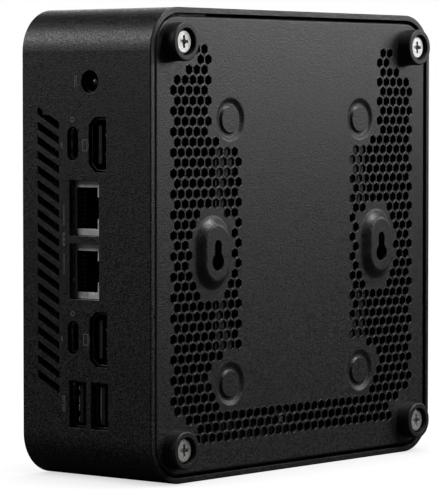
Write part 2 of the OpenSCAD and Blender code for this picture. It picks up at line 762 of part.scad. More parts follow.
module video_tongues() in_case() color("#141416") video_places() {
  along_y(rear_y - video_inset - 11.5, 10.8) translate([0.3, 0]) rounded([1.2, 11], 0.4);
  along_y(rear_y - video_inset - 11.5, 2.5) video_outline([5.2, 14.4]);
}

module network_places() {
  for (p = network_at) translate([p.x, 0, p.y]) children();
}

module network_shields() in_case() color("#b9bdc1") network_places() difference() {
  along_y(network_y - network_depth, network_depth) square(network_shell, center = true);
  along_y(network_y - network_depth + 0.3, network_depth - 0.6)
    square(network_shell - [0.6, 0.6], center = true);
  along_y(network_y - 1, 2) network_cavity();
}

// Plug cavity with the stepped notch for the plug's latch
module network_cavity() {
  translate([0.9, 0]) square([8.2, 11.9], center = true);
  translate([-3.6, 0]) square([1.8, 6.2], center = true);
  translate([-4.4, 0]) square([1.2, 4], center = true);
}

module network_inserts() in_case() color("#151517") network_places() {
  difference() {
    along_y(network_y - network_depth + 0.3, network_depth - 0.6)
      square(network_shell - [0.6, 0.6], center = true);
    along_y(inner_y - 14, 17) network_cavity();
  }
}

module network_contacts() in_case() color("#d4af37") network_places()
  for (i = [0:7]) translate([3.4, inner_y - 13.9, (i - 3.5) * 1.27 - 0.2]) {
    cube([1.28, 11, 0.4]);
    translate([-1.6, 0, 0]) cube([1.6, 3, 0.4]);
  }

// All but the second rear socket are fast ones, whose tongue has two notches in its lip
module fast_usb_a_places() {
  translate([usb_a_at[0].x, 0, usb_a_at[0].y]) children();
  for (z = front_usb_a_z) mirror([0, 1, 0]) translate([front_x, 0, z]) children();
}

module usb_a_places() {
  fast_usb_a_places() children();
  translate([usb_a_at[1].x, 0, usb_a_at[1].y]) children();
}

module usb_a_shells() in_case() color("#b4b8bc") usb_a_places() difference() {
  along_y(rear_y - usb_a_inset - usb_a_depth, usb_a_depth) square([5.8, 13.1], center = true);
  along_y(rear_y - usb_a_inset - usb_a_depth + 0.5, usb_a_depth) square([5.2, 12.5], center = true);
}

module usb_a_tongues() in_case() color("#101012") {
  back = rear_y - usb_a_inset - usb_a_depth + 0.5;
  front = rear_y - usb_a_inset - 0.7;
  lip = 0.6;
  difference() {
    usb_a_places() {
      along_z(-5.55, 11.1)
        polygon([[0.15, back], [0.15, front], [2.05 - lip, front], [2.05, front - lip], [2.05, back]]);
      along_y(back, 4) square([5.2, 12.5], center = true);
    }
    fast_usb_a_places() for (z = [-3, 3]) translate([1.2, front - lip, z - 0.65]) cube([1, 1, 1.3]);
  }
}

module usb_a_contacts() in_case() color("#d4af37") usb_a_places()
  for (z = [-3.5, -1, 1, 3.5]) translate([-0.05, rear_y - usb_a_inset - usb_a_depth + 4.5, z - 0.5])
    cube([0.2, 8, 1]);

module audio_jack() in_case() color("#1a1a1c") translate([front_x, 0, audio_z]) difference() {
  union() {
    rod_y(-rear_y + 0.3, wall + 0.6, 6.9);
    translate([-3.4, -inner_y + 0.4, -3.5]) cube([board_x - front_x + 3.4, 12, 7]);
  }
  rod_y(-rear_y, 13, 3.6);
}

module power_button() in_case() color("#26262a") translate([front_x, 0, button_z]) {
  rod_y(-rear_y + 0.4, wall - 0.4, button_dia);
  rod_y(-rear_y, 0.5, button_dia - 0.8);
  rod_y(-inner_y, 1, flange_dia);
  translate([2, 0, 0]) rod_y(-inner_y + 1 - eps, inner_y - 1 + eps + switch_y - 4.2, 3.4);
}

module power_switch() in_case() color("#c9c9c9") translate([front_x + 2, 0, button_z]) difference() {
  translate([-2, switch_y - 3, -3]) cube([board_x - front_x, 6, 6]);
  rod_y(switch_y - 4, 5, plunger_dia + 2 * play);
}

module switch_plunger() in_case() color("#3c3c3c") translate([front_x + 2, 0, button_z])
  rod_y(switch_y - 4.2, 4.2, plunger_dia);

module light_pipe() in_case() color("#dfe8ef") translate([front_x, 0, light_z]) {
  rod_y(-rear_y + 0.05, wall - 0.05, 1.96);
  rod_y(-inner_y, 6, 3);
}

module lock_plate() in_case() color("#a2a6aa") difference() {
  along_z(inner_z - 1.4, 1.4) translate(lock_at) rounded([12, 18], 1.5);
  along_z(inner_z - 3, 5) translate(lock_at) rounded(lock_slot, 0.8);
}

housing();
top_cover();
bottom_plate();
rubber_feet();
corner_screws();
drive_tray();
tray_rivets();
storage_drive();
drive_screws();
drive_plug();
drive_ribbon();
main_board();
board_screws();
board_components();
processor();
cold_plate();
heat_pipe();
fin_stack();
blower_case();
blower_cover();
blower_screws();
fan_stator();
fan_rotor();
memory_sockets();
memory_modules();
ssd_socket();
ssd_module();
ssd_screw();
wireless_card();
antennas();
antenna_leads();
coin_cell_holder();
coin_cell();
dc_jack();
dc_pin();
usb_c_shells();
usb_c_tongues();
video_shells();
video_tongues();
network_shields();
network_inserts();
network_contacts();
usb_a_shells();
usb_a_tongues();
usb_a_contacts();
audio_jack();
power_button();
power_switch();
switch_plunger();
light_pipe();
lock_plate();
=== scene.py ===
"""Looks of a palm-sized desktop computer that stands on its side wall.

Everything is in metres in the shared frame: x runs from the bottom plate to the lid, y from the
front panel to the rear panel and z up from the wall that it stands on.
"""

import math

import bpy
import numpy as np
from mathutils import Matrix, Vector


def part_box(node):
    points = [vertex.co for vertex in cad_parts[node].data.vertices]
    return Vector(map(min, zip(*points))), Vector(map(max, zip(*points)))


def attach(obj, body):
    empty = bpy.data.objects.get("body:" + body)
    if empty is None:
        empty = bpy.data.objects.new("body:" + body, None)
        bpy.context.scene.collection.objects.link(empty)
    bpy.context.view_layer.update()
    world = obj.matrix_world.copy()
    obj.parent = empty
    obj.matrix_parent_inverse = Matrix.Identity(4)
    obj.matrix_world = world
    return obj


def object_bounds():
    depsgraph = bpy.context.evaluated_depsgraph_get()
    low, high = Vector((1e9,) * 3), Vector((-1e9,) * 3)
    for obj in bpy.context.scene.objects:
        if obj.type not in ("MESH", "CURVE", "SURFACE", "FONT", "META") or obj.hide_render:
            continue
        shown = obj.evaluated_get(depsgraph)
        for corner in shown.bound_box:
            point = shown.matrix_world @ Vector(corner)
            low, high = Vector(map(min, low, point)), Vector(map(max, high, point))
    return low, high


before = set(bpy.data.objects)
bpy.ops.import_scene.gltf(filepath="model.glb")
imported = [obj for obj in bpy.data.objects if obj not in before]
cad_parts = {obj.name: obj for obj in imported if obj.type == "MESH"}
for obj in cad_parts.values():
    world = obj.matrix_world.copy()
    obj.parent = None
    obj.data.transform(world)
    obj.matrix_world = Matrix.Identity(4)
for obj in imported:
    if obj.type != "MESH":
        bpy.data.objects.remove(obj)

MM = 0.001
WAVE_SCALE = math.pi / 10       # scale of a wave texture whose bands are one metre apart

cad_low, cad_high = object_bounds()
case_low, case_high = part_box("housing")
RIM_X = case_low.x
REAR_Y = case_high.y
MIDDLE = (case_low + case_high) / 2


def case_point(x, y, z):
    """A point given in millimetres from the rim, from the middle of the depth and from mid-height."""
    return Vector((RIM_X + x * MM, MIDDLE.y + y * MM, MIDDLE.z + z * MM))


# ---------------------------------------------------------------- finishes


class Finish:
    """A node material that reads Object coordinates and is built up one pattern at a time."""

    def __init__(self, name, roughness=0.5, metallic=0.0, coat=0.0, coat_roughness=0.2):
        self.material = bpy.data.materials.new(name)
        self.material.use_nodes = True
        self.tree = self.material.node_tree
        self.shader = self.tree.nodes["Principled BSDF"]
        self.shader.inputs["Roughness"].default_value = roughness
        self.shader.inputs["Metallic"].default_value = metallic
        self.shader.inputs["Coat Weight"].default_value = coat
        self.shader.inputs["Coat Roughness"].default_value = coat_roughness
        self.place = self.tree.nodes.new("ShaderNodeTexCoord").outputs["Object"]
        self.normal = None

    def node(self, kind, **settings):
        made = self.tree.nodes.new(kind)
        for key, value in settings.items():
            setattr(made, key, value)
        return made

    def link(self, source, target):
        self.tree.links.new(source, target)

    def stretched(self, scale, turn=(0, 0, 0)):
        """Object coordinates squeezed by scale along each axis, after a turn in degrees."""
        mapping = self.node("ShaderNodeMapping", vector_type="POINT")
        mapping.inputs["Scale"].default_value = scale
        mapping.inputs["Rotation"].default_value = [math.radians(a) for a in turn]
        self.link(self.place, mapping.inputs["Vector"])
        return mapping.outputs["Vector"]

    def noise(self, size, detail=2.0, rough=0.5, vector=None):
        """Soft noise whose lumps are about size metres across."""
        made = self.node("ShaderNodeTexNoise")
        made.inputs["Scale"].default_value = 1 / size
        made.inputs["Detail"].default_value = detail
        made.inputs["Roughness"].default_value = rough
        self.link(vector or self.place, made.inputs["Vector"])
        return made.outputs["Fac"]

    def cells(self, size, feature="F1", output="Distance"):
        """Voronoi cells about size metres across."""
        made = self.node("ShaderNodeTexVoronoi", feature=feature)
        made.inputs["Scale"].default_value = 1 / size
        self.link(self.place, made.inputs["Vector"])
        return made.outputs[output]

    def stripes(self, size, axis="Z", distortion=0.0):
        """Parallel bands across the axis, one every size metres."""
        made = self.node("ShaderNodeTexWave", wave_type="BANDS", bands_direction=axis, wave_profile="SIN")
        made.inputs["Scale"].default_value = WAVE_SCALE / size
        made.inputs["Distortion"].default_value = distortion
        made.inputs["Detail"].default_value = 1.0
        self.link(self.place, made.inputs["Vector"])
        return made.outputs["Fac"]

    def axis(self, letter):
        """The Object coordinate along one axis."""
        split = self.node("ShaderNodeSeparateXYZ")
        self.link(self.place, split.inputs["Vector"])
        return split.outputs[letter]

    def maths(self, operation, *values):
        """The result of one operation on sockets or numbers."""
        made = self.node("ShaderNodeMath", operation=operation)
        for socket, value in zip(made.inputs, values):
            if isinstance(value, bpy.types.NodeSocket):
                self.link(value, socket)
            else:
                socket.default_value = value
        return made.outputs["Value"]

    def near(self, letter, middle, reach):
        """1 where the coordinate lies within reach of middle, 0 elsewhere."""
        return self.maths("COMPARE", self.axis(letter), middle, reach)

    def all_of(self, *masks):
        """1 where every mask is 1."""
        both = masks[0]
        for mask in masks[1:]:
            both = self.maths("MULTIPLY", both, mask)
        return both

    def any_of(self, *masks):
        """1 where one mask or more is 1."""
        either = masks[0]
        for mask in masks[1:]:
            either = self.maths("MAXIMUM", either, mask)
        return either

    def between(self, letter, low, high):
        """1 where the coordinate lies between low and high, 0 elsewhere."""
        value = self.axis(letter)
        return self.all_of(self.maths("GREATER_THAN", value, low), self.maths("LESS_THAN", value, high))

    def apart(self, across, up):
        """How far (across, up) lies from (0, 0)."""
        squares = self.maths("POWER", across, 2), self.maths("POWER", up, 2)
        return self.maths("SQRT", self.maths("ADD", *squares))

    def span(self, source, low, high, start=0.3, end=0.7):
        """Carries start..end of the source to low..high."""
        made = self.node("ShaderNodeMapRange")
        self.link(source, made.inputs["Value"])
        for key, value in (("From Min", start), ("From Max", end), ("To Min", low), ("To Max", high)):
            made.inputs[key].default_value = value
        return made.outputs["Result"]

    def ramp(self, source, *stops):
        """Colours along the source: stops are (position, (r, g, b))."""
        made = self.node("ShaderNodeValToRGB")
        points = made.color_ramp.elements
        while len(points) < len(stops):
            points.new(0.5)
        for point, (position, colour) in zip(points, stops):
            point.position = position
            point.color = (*colour, 1)
        self.link(source, made.inputs["Fac"])
        return made.outputs["Color"]

    def mix(self, share, first, second):
        """first where share is 0 and second where it is 1; each is a socket or a colour."""
        made = self.node("ShaderNodeMix", data_type="RGBA")
        self.link(share, made.inputs["Factor"])
        for socket, value in zip((made.inputs[6], made.inputs[7]), (first, second)):
            if isinstance(value, bpy.types.NodeSocket):
                self.link(value, socket)
            else:
                socket.default_value = (*value, 1)
        return made.outputs[2]

    def colour(self, source):
        self.link(source, self.shader.inputs["Base Color"])

    def tone(self, source, dark, light, start=0.3, end=0.7):
        """Base colour that runs from dark to light along the source."""
        self.colour(self.ramp(source, (start, dark), (end, light)))

    def gloss(self, source, low, high, start=0.3, end=0.7):
        """Roughness that runs from low to high along the source."""
        self.link(self.span(source, low, high, start, end), self.shader.inputs["Roughness"])

    def soft_edges(self, radius):
        """Edges that catch the light as if they were rounded to radius."""
        made = self.node("ShaderNodeBevel", samples=4)
        made.inputs["Radius"].default_value = radius
        self.normal = made.outputs["Normal"]

    def relief(self, source, height):
        """Bumps along the source, height metres from its 0 to its 1."""
        made = self.node("ShaderNodeBump")
        made.inputs["Distance"].default_value = height
        made.inputs["Strength"].default_value = 1.0
        self.link(source, made.inputs["Height"])
        if self.normal:
            self.link(self.normal, made.inputs["Normal"])
        self.normal = made.outputs["Normal"]
        self.link(self.normal, self.shader.inputs["Normal"])


def grey(value):
    return (value, value, value)


def textured_plastic(name, dark, light, roughness, grain, depth, edge=0.15 * MM, print_on=None):
    """Black moulded plastic with an eroded texture: grain is the size of its lumps.

    print_on, where given, takes the finish and returns 1 where grey ink lies on it.
    """
    made = Finish(name, roughness=roughness)
    lumps = made.noise(grain, detail=3, rough=0.6)
    facets = made.cells(grain * 0.85, output="Color")
    base = made.ramp(facets, (0.35, dark), (0.85, light))
    if print_on:
        ink = made.ramp(lumps, (0.30, grey(0.05)), (0.55, grey(0.16)))
        base = made.mix(print_on(made), base, ink)
    made.colour(base)
    made.gloss(facets, roughness - 0.12, roughness + 0.14, 0.2, 0.8)
    made.soft_edges(edge)
    made.relief(lumps, depth)
    return made.material


# Printed signs, in millimetres: x from the rim and z from mid-height
INK_LINE = 0.32         # width of a printed line
INK_DEPTH = 0.1         # how far under the wall's face the ink still shows
BARS = (                # printed bars: middle x, middle z, width and height
    (28.9, 47.0, INK_LINE, 3.2), (28.2, 48.1, INK_LINE, 0.8),
    (28.2, 47.0, INK_LINE, 0.8), (28.2, 45.9, INK_LINE, 0.8),
    (34.0, 28.6, 0.5, 1.5), (34.0, -27.1, 0.5, 1.5),
    (33.2, 8.5, INK_LINE, 6.0), (33.2, -5.6, INK_LINE, 6.0),
    (33.2, 3.0, 0.8, 0.8), (33.2, 1.5, 0.8, 0.8), (33.2, 0.0, 0.8, 0.8), (33.6, 1.5, INK_LINE, 3.0),
    (33.7, -44.6, INK_LINE, 2.2), (33.7, -47.2, INK_LINE, 2.2), (33.0, -45.9, INK_LINE, 4.8),
)
SCREENS = ((25.0, 28.6), (24.8, -27.1))     # middles of the printed display signs
RINGS = ((29.9, 35.9), (29.9, -19.8))       # middles of the printed rings
SCREEN_SIZE = (2.0, 3.4)
SCREEN_STAND = 0.4      # from a display sign to the short line beside it
RING_RADIUS = 0.65


def rear_print(made):
    """Plain signs beside the rear sockets: bars, display outlines and rings, without lettering."""
    def bar(x, z, width, height):
        at = case_point(x, 0, z)
        return made.all_of(made.near("X", at.x, width / 2 * MM), made.near("Z", at.z, height / 2 * MM))

    def screen(x, z):
        wide, tall = SCREEN_SIZE
        inside = bar(x, z, wide - 2 * INK_LINE, tall - 2 * INK_LINE)
        outline = made.all_of(bar(x, z, wide, tall), made.maths("SUBTRACT", 1.0, inside))
        return made.any_of(outline, bar(x - wide / 2 - SCREEN_STAND, z, INK_LINE, tall / 2))

    def ring(x, z):
        at = case_point(x, 0, z)
        across = made.maths("SUBTRACT", made.axis("X"), at.x)
        up = made.maths("SUBTRACT", made.axis("Z"), at.z)
        return made.maths("COMPARE", made.apart(across, up), RING_RADIUS * MM, INK_LINE / 2 * MM)

    signs = [bar(*b) for b in BARS] + [screen(*at) for at in SCREENS] + [ring(*at) for at in RINGS]
    return made.all_of(made.any_of(*signs), made.near("Y", REAR_Y, INK_DEPTH * MM))


def smooth_plastic(name, dark, light, roughness, edge=0.08 * MM):
    """Moulded plastic from a polished tool, with faint flow marks."""
    made = Finish(name, roughness=roughness)
    made.tone(made.noise(2.4 * MM, detail=3), dark, light)
    made.gloss(made.noise(0.9 * MM), roughness - 0.06, roughness + 0.1)
    made.soft_edges(edge)
    made.relief(made.noise(0.25 * MM), 0.004 * MM)
    return made.material


def powder_coat(name, roughness=0.42):
    """Satin black paint on pressed steel: a fine orange peel with tiny brighter specks."""
    made = Finish(name, roughness=roughness)
    facets = made.cells(0.42 * MM, output="Color")
    made.tone(facets, (0.006, 0.006, 0.0065), (0.022, 0.022, 0.023))
    made.gloss(facets, roughness - 0.07, roughness + 0.09, 0.2, 0.8)
    made.soft_edges(0.2 * MM)
    made.relief(made.noise(0.5 * MM, detail=2, rough=0.6), 0.10 * MM)
    return made.material


def rubber(name):
    """Matt moulded rubber with a dusty bloom on its high spots."""
    made = Finish(name, roughness=0.5)
    made.tone(made.noise(1.1 * MM, detail=4), (0.003, 0.003, 0.003), (0.009, 0.009, 0.008))
    made.gloss(made.noise(0.6 * MM), 0.44, 0.62)
    made.soft_edges(0.2 * MM)
    made.relief(made.noise(0.3 * MM, detail=2), 0.012 * MM)
    return made.material


def plated_steel(name, dark, light, roughness, lay="Z", lay_size=0.09 * MM):
    """Bright plated steel, with rolling marks that run across the lay axis."""
    made = Finish(name, roughness=roughness, metallic=1.0)
    scale = {"X": (1, 0.05, 0.05), "Y": (0.05, 1, 0.05), "Z": (0.05, 0.05, 1)}[lay]
    marks = made.noise(lay_size, detail=3, vector=made.stretched(scale))
    made.tone(made.noise(3 * MM, detail=3), dark, light)
    made.gloss(marks, roughness - 0.08, roughness + 0.12)
    made.soft_edges(0.06 * MM)
    made.relief(marks, 0.002 * MM)
    return made.material


def turned_steel(name):
    """A nickel-plated screw: tool marks and small scuffs on a bright head."""
    made = Finish(name, roughness=0.46, metallic=1.0)
    scuffs = made.cells(0.5 * MM, feature="DISTANCE_TO_EDGE")
    made.tone(made.noise(0.8 * MM, detail=4), (0.52, 0.515, 0.505), (0.74, 0.735, 0.72))
    made.gloss(scuffs, 0.60, 0.42, 0.0, 0.25)
    made.soft_edges(0.12 * MM)
    made.relief(made.noise(0.18 * MM, detail=3), 0.004 * MM)
    return made.material


def galvanised(name):
    """Zinc-coated sheet with its crystal spangle."""
    made = Finish(name, roughness=0.4, metallic=1.0)
    made.colour(made.mix(made.cells(2.6 * MM, output="Color"), (0.42, 0.43, 0.45), (0.60, 0.61, 0.62)))
    made.gloss(made.noise(1.5 * MM), 0.3, 0.5)
    made.soft_edges(0.1 * MM)
    made.relief(made.noise(0.6 * MM), 0.003 * MM)
    return made.material


def brushed_shell(name, dark, light, axis_scale):
    """Brushed aluminium with long fine scratches."""
    made = Finish(name, roughness=0.34, metallic=0.9)
    scratches = made.noise(0.12 * MM, detail=3, vector=made.stretched(axis_scale))
    made.tone(scratches, dark, light)
    made.gloss(scratches, 0.26, 0.46)
    made.soft_edges(0.08 * MM)
    made.relief(scratches, 0.003 * MM)
    return made.material


def copper(name, dark, light, roughness):
    """Copper with a patchy heat tint."""
    made = Finish(name, roughness=roughness, metallic=1.0)
    made.tone(made.noise(4 * MM, detail=4), dark, light)
    made.gloss(made.noise(0.3 * MM), roughness - 0.08, roughness + 0.1)
    made.soft_edges(0.1 * MM)
    made.relief(made.noise(0.2 * MM), 0.003 * MM)
    return made.material


def windings(name):
    """Enamelled wire wound in close turns about the motor's axis."""
    made = Finish(name, roughness=0.3, metallic=0.8, coat=0.4)
    turns = made.stripes(0.4 * MM, "X", distortion=0.6)
    made.tone(turns, (0.22, 0.07, 0.03), (0.70, 0.31, 0.13), 0.2, 0.8)
    made.relief(turns, 0.05 * MM)
    return made.material


def circuit_board(name, mask_dark, mask_light, copper_tint):
    """Solder mask over etched traces: straight runs on a grid, with round pads and vias."""
    made = Finish(name, roughness=0.36, coat=0.3, coat_roughness=0.15)
    tracks = made.node("ShaderNodeTexBrick", offset=0.5, squash=0.6, squash_frequency=3)
    tracks.inputs["Scale"].default_value = 1 / (6 * MM)
    tracks.inputs["Mortar Size"].default_value = 0.035
    tracks.inputs["Brick Width"].default_value = 0.9
    tracks.inputs["Row Height"].default_value = 0.22
    made.link(made.stretched((1, 1, 1), (0, 90, 0)), tracks.inputs["Vector"])
    vias = made.maths("LESS_THAN", made.cells(2.1 * MM), 0.13)
    track = made.maths("SUBTRACT", 1.0, made.maths("GREATER_THAN", tracks.outputs["Fac"], 0.5))
    base = made.mix(track, mask_light, mask_dark)
    made.colour(made.mix(vias, made.mix(made.noise(7 * MM), base, mask_dark), copper_tint))
    made.gloss(made.noise(0.8 * MM), 0.28, 0.45)
    made.relief(tracks.outputs["Fac"], 0.02 * MM)
    return made.material


def layered_card(name, mask, chip, low, high):
    """A card whose chips stand between low and high along x; the rest is board."""
    made = Finish(name, roughness=0.45)
    bright_mask = tuple(1.7 * c for c in mask)
    bright_chip = tuple(1.8 * c for c in chip)
    board = made.ramp(made.stripes(1.1 * MM, "Z", distortion=1.5), (0.2, mask), (0.9, bright_mask))
    packages = made.ramp(made.noise(1.2 * MM, detail=3), (0.3, chip), (0.7, bright_chip))
    on_chip = made.between("X", low, high)
    made.colour(made.mix(on_chip, board, packages))
    made.gloss(made.noise(0.5 * MM), 0.36, 0.55)
    made.soft_edges(0.08 * MM)
    made.relief(made.noise(0.2 * MM), 0.006 * MM)
    return made.material


def component(name):
    """Moulded chip packages, each a slightly different black."""
    made = Finish(name, roughness=0.5)
    made.tone(made.noise(3 * MM, detail=2), (0.012, 0.012, 0.013), (0.045, 0.044, 0.043))
    made.gloss(made.noise(0.6 * MM), 0.4, 0.6)
    made.soft_edges(0.1 * MM)
    made.relief(made.noise(0.15 * MM), 0.008 * MM)
    return made.material


def banded_film(name, film, line, size, axis):
    """Flat cable or flexible film with parallel conductors under its surface."""
    made = Finish(name, roughness=0.35, coat=0.5, coat_roughness=0.12)
    made.tone(made.stripes(size, axis), film, line, 0.35, 0.65)
    made.gloss(made.noise(1.5 * MM), 0.28, 0.42)
    made.relief(made.stripes(size, axis), 0.02 * MM)
    return made.material


def clear_lens(name):
    """A frosted light pipe with a slightly bluish tint."""
    made = Finish(name, roughness=0.25)
    made.shader.inputs["Transmission Weight"].default_value = 0.6
    made.shader.inputs["IOR"].default_value = 1.49
    made.tone(made.noise(0.8 * MM, detail=2), (0.72, 0.80, 0.86), (0.86, 0.90, 0.93))
    made.gloss(made.noise(0.3 * MM), 0.18, 0.34)
    made.relief(made.noise(0.2 * MM), 0.004 * MM)
    return made.material


# The sign on the button, in millimetres
POWER_RADIUS = 2.0      # of the ring
POWER_LINE = 0.4        # width of its lines
POWER_GAP = 1.6         # width of the gap in the ring
POWER_BAR = (1.6, 2.6)  # the upright bar's middle above the ring's, and its length
POWER_DEPTH = 0.3       # how far under the button's face the ink still shows


def power_print(made):
    """The plain on-and-off sign on the button: a ring, open at the top, with an upright bar in the gap."""
    button_low, button_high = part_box("power_button")
    middle = (button_low + button_high) / 2
    across = made.maths("SUBTRACT", made.axis("X"), middle.x)
    up = made.maths("SUBTRACT", made.axis("Z"), middle.z)
    ring = made.maths("COMPARE", made.apart(across, up), POWER_RADIUS * MM, POWER_LINE / 2 * MM)
    above = made.maths("GREATER_THAN", up, 0)
    in_gap = made.all_of(made.maths("COMPARE", across, 0, POWER_GAP / 2 * MM), above)
    open_ring = made.all_of(ring, made.maths("SUBTRACT", 1.0, in_gap))
    bar_up, bar_length = POWER_BAR
    bar = made.all_of(made.maths("COMPARE", across, 0, POWER_LINE / 2 * MM),
                      made.maths("COMPARE", up, bar_up * MM, bar_length / 2 * MM))
    return made.all_of(made.any_of(open_ring, bar), made.near("Y", button_low.y, POWER_DEPTH * MM))


MATERIALS = {
    "case": textured_plastic("case_textured_black", grey(0.001), grey(0.017), 0.41, 0.46 * MM, 0.11 * MM,
                             edge=0.2 * MM, print_on=rear_print),
    "lid": textured_plastic("lid_fine_black", grey(0.007), grey(0.018), 0.42, 0.4 * MM, 0.05 * MM),
    "plate": powder_coat("plate_powder_black"),
    "rubber": rubber("foot_rubber_black"),
    "screw": turned_steel("screw_nickel"),
    "bracket": galvanised("bracket_zinc"),
    # painted shade: the tray is coloured black so that it looks as dark through the vents as the shade inside
    # the case
    "tray": powder_coat("drive_tray_painted_shade_black", 0.55),
    "drive": brushed_shell("drive_graphite", (0.012, 0.0125, 0.0135), (0.030, 0.031, 0.033), (1, 1, 0.03)),
    "socket_black": smooth_plastic("socket_black_nylon", grey(0.010), grey(0.022), 0.4),
    "ribbon": banded_film("ribbon_film", (0.012, 0.013, 0.015), (0.055, 0.05, 0.045), 1.0 * MM, "Y"),
    "board": circuit_board("board_green", (0.006, 0.028, 0.014), (0.014, 0.065, 0.030), (0.55, 0.42, 0.22)),
    "component": component("component_black"),
    "copper": copper("cold_plate_copper", (0.48, 0.20, 0.10), (0.74, 0.36, 0.20), 0.32),
    # painted shade: the copper heat pipe and the fins are coloured near black so that they look as dark as
    # they do in the shade inside the case
    "pipe": copper("heat_pipe_painted_shade", (0.030, 0.022, 0.018), (0.075, 0.055, 0.045), 0.34),
    "fins": brushed_shell("fin_painted_shade_aluminium", grey(0.012), grey(0.04), (0.04, 1, 1)),
    "fan": smooth_plastic("fan_black", grey(0.012), grey(0.026), 0.45),
    "windings": windings("stator_windings"),
    "cover": plated_steel("blower_cover_steel", grey(0.42), grey(0.58), 0.36, "Y"),
    "shell": plated_steel("socket_shell_dark", grey(0.10), grey(0.17), 0.30, "Y"),
    # painted shade: the nickel pin is coloured dark grey, standing in for the shade deep inside the jack
    "pin": plated_steel("dc_pin_painted_shade_nickel", grey(0.16), grey(0.26), 0.34, "Y"),
    "bead": powder_coat("vent_edge_paint", 0.27),
    "spring": plated_steel("socket_spring_steel", grey(0.45), grey(0.62), 0.28, "Y"),
    # painted highlight: the lip's light grey stands in for the light that the tongue's front edge catches
    "lip": smooth_plastic("tongue_lip_painted_highlight", grey(0.50), grey(0.68), 0.35),
    "shield": plated_steel("network_shield_steel", grey(0.72), grey(0.88), 0.46, "Y"),
    "gold": copper("contact_gold", (0.62, 0.42, 0.13), (0.86, 0.62, 0.26), 0.24),
    "lead": smooth_plastic("lead_jacket_black", grey(0.012), grey(0.03), 0.35),
    "button": textured_plastic("button_black", grey(0.008), grey(0.018), 0.38, 0.3 * MM, 0.02 * MM,
                               print_on=power_print),
    "plunger": smooth_plastic("plunger_black", grey(0.010), grey(0.022), 0.4),
    "lens": clear_lens("light_pipe_clear"),
    # painted shade: the cell's bright steel is coloured a dull grey so that it stays dark behind the vents
    "cell": plated_steel("coin_cell_painted_shade_steel", grey(0.20), grey(0.30), 0.4, "Z"),
}


def card_finishes():
    """The three kinds of card and the processor: chips are told from the board by how far out they stand."""
    memory_low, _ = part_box("memory_modules")
    ssd_low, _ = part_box("ssd_module")
    radio_low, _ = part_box("wireless_card")
    _, chip_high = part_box("processor")
    MATERIALS["memory"] = layered_card(
        "memory_card", (0.008, 0.05, 0.022), grey(0.014), memory_low.x, memory_low.x + 1.0 * MM)
    MATERIALS["ssd"] = layered_card(
        "ssd_card", (0.010, 0.022, 0.045), grey(0.016), ssd_low.x, ssd_low.x + 1.4 * MM)
    MATERIALS["radio"] = layered_card(
        "radio_card", (0.008, 0.04, 0.02), grey(0.30), radio_low.x, radio_low.x + 1.6 * MM)
    MATERIALS["processor"] = layered_card(
        "processor_package", (0.010, 0.06, 0.028), grey(0.12), chip_high.x - 0.5 * MM, chip_high.x + 1 * MM)


card_finishes()

NODE_FINISH = {
    "housing": "case", "top_cover": "lid", "bottom_plate": "plate", "rubber_feet": "rubber",
    "corner_screws": "screw", "drive_tray": "tray", "tray_rivets": "screw", "storage_drive": "drive",
    "drive_screws": "screw", "drive_plug": "socket_black", "drive_ribbon": "ribbon", "main_board": "board",
    "board_screws": "screw", "board_components": "component", "processor": "processor",
    "cold_plate": "copper", "heat_pipe": "pipe", "fin_stack": "fins", "blower_case": "fan",
    "blower_cover": "cover", "blower_screws": "screw", "fan_stator": "windings", "fan_rotor": "fan",
    "memory_sockets": "socket_black", "memory_modules": "memory", "ssd_socket": "socket_black",
    "ssd_module": "ssd", "ssd_screw": "screw", "wireless_card": "radio", "antennas": "ribbon",
    "antenna_leads": "lead", "coin_cell_holder": "socket_black", "coin_cell": "cell",
    "dc_jack": "socket_black", "dc_pin": "pin", "usb_c_shells": "shell", "usb_c_tongues": "socket_black",
    "video_shells": "shell", "video_tongues": "socket_black", "network_shields": "shield",
    "network_inserts": "socket_black", "network_contacts": "gold", "usb_a_shells": "shell",
    "usb_a_tongues": "socket_black", "usb_a_contacts": "gold", "audio_jack": "socket_black",
    "power_button": "button", "power_switch": "component", "switch_plunger": "plunger",
    "light_pipe": "lens", "lock_plate": "bracket",
}
for node_name, finish in NODE_FINISH.items():
    node_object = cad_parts[node_name]
    node_object.data.materials.clear()
    node_object.data.materials.append(MATERIALS[finish])


# ---------------------------------------------------------------- surfaces


def to_frame(points):
    """Millimetre points from the rim and from the case's middle, as metres in the shared frame."""
    return points * MM + np.array([RIM_X, MIDDLE.y, MIDDLE.z])


def add_piece(name, vertices, faces, finish, body):
    """Makes a smooth mesh piece from arrays of vertices and faces and lets it ride on a body."""
    mesh = bpy.data.meshes.new(name)
    mesh.from_pydata(vertices.tolist(), [], faces.tolist())
    mesh.polygons.foreach_set("use_smooth", np.full(len(mesh.polygons), True))
    mesh.materials.append(MATERIALS[finish])
    mesh.update()
    piece = bpy.data.objects.new(name, mesh)
    bpy.context.scene.collection.objects.link(piece)
    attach(piece, body)


def tube_faces(rings, around, joined=False):
    """Quads of a tube of rings with around points each; joined carries on from the last ring to the first."""
    spans = rings if joined else rings - 1
    ring, turn = np.meshgrid(np.arange(spans), np.arange(around), indexing="ij")
    here, on = ring * around, (ring + 1) % rings * around
    beside = (turn + 1) % around
    return np.stack([here + turn, on + turn, on + beside, here + beside], -1).reshape(-1, 4)


def repeated(faces, count, step):
    """The same faces for count copies whose vertices follow each other every step."""
    return (faces[None] + step * np.arange(count)[:, None, None]).reshape(-1, faces.shape[1])


def outward(vertices, faces):
    """The faces, turned round where they enclose a negative volume, so that they face outwards."""
    a, b, c = (vertices[faces[:, k]] for k in (0, 1, 2))
    volume = np.einsum("ij,ij->i", a, np.cross(b, c)).sum()
    if faces.shape[1] == 4:
        volume += np.einsum("ij,ij->i", a, np.cross(c, vertices[faces[:, 3]])).sum()
    return faces if volume > 0 else faces[:, ::-1]


